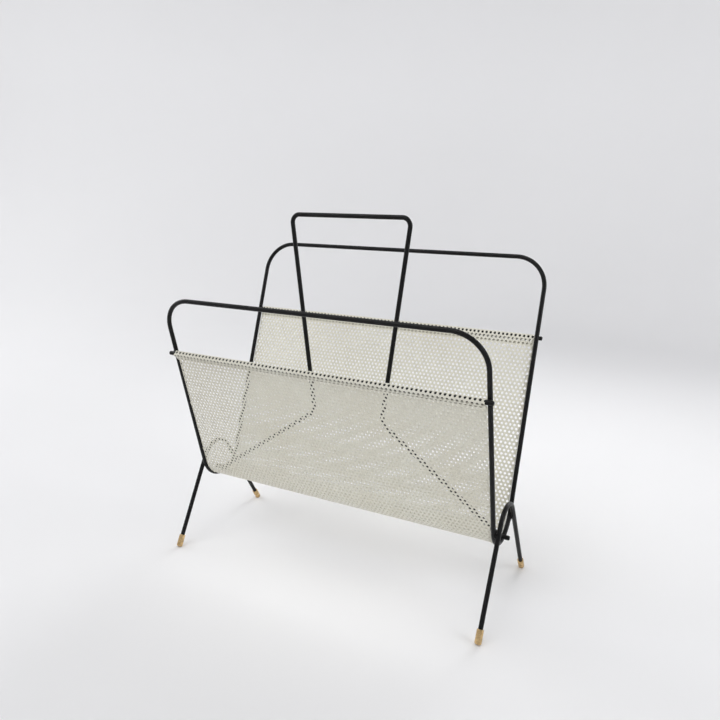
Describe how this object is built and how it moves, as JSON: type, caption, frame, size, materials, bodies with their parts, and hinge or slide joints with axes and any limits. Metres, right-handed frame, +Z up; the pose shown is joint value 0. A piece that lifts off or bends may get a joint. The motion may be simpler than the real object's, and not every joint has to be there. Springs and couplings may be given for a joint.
{
  "type": "newspaper rack",
  "caption": "Free-standing newspaper rack: perforated sheet trough with hems folded over rods, hung in a bent-rod loop with hairpin legs, ferrules and a waisted divider handle.",
  "frame": {"origin": "on the floor, under the middle of the rack's outer box", "axes": "+X to the right along the rack, -Y towards the low front wall, +Y towards the high back wall, +Z up"},
  "size_m": [0.409, 0.2233, 0.4238],
  "materials": {
    "black_enamel": "satin black enamel on steel rod",
    "cream_enamel": "satin cream enamel on perforated steel sheet",
    "ferrule_brass": "satin brass, worn flat underneath"
  },
  "bodies": {
    "root": {"frame_loop": "black_enamel", "perforated_trough": "cream_enamel", "front_hem_rod": "black_enamel", "back_hem_rod": "black_enamel", "divider_handle": "black_enamel", "left_leg_hairpin": "black_enamel", "right_leg_hairpin": "black_enamel", "hem_rod_welds": "black_enamel", "leg_welds": "black_enamel", "handle_welds": "black_enamel", "front_left_ferrule": "ferrule_brass", "front_right_ferrule": "ferrule_brass", "back_left_ferrule": "ferrule_brass", "back_right_ferrule": "ferrule_brass"}
  },
  "joints": []
}
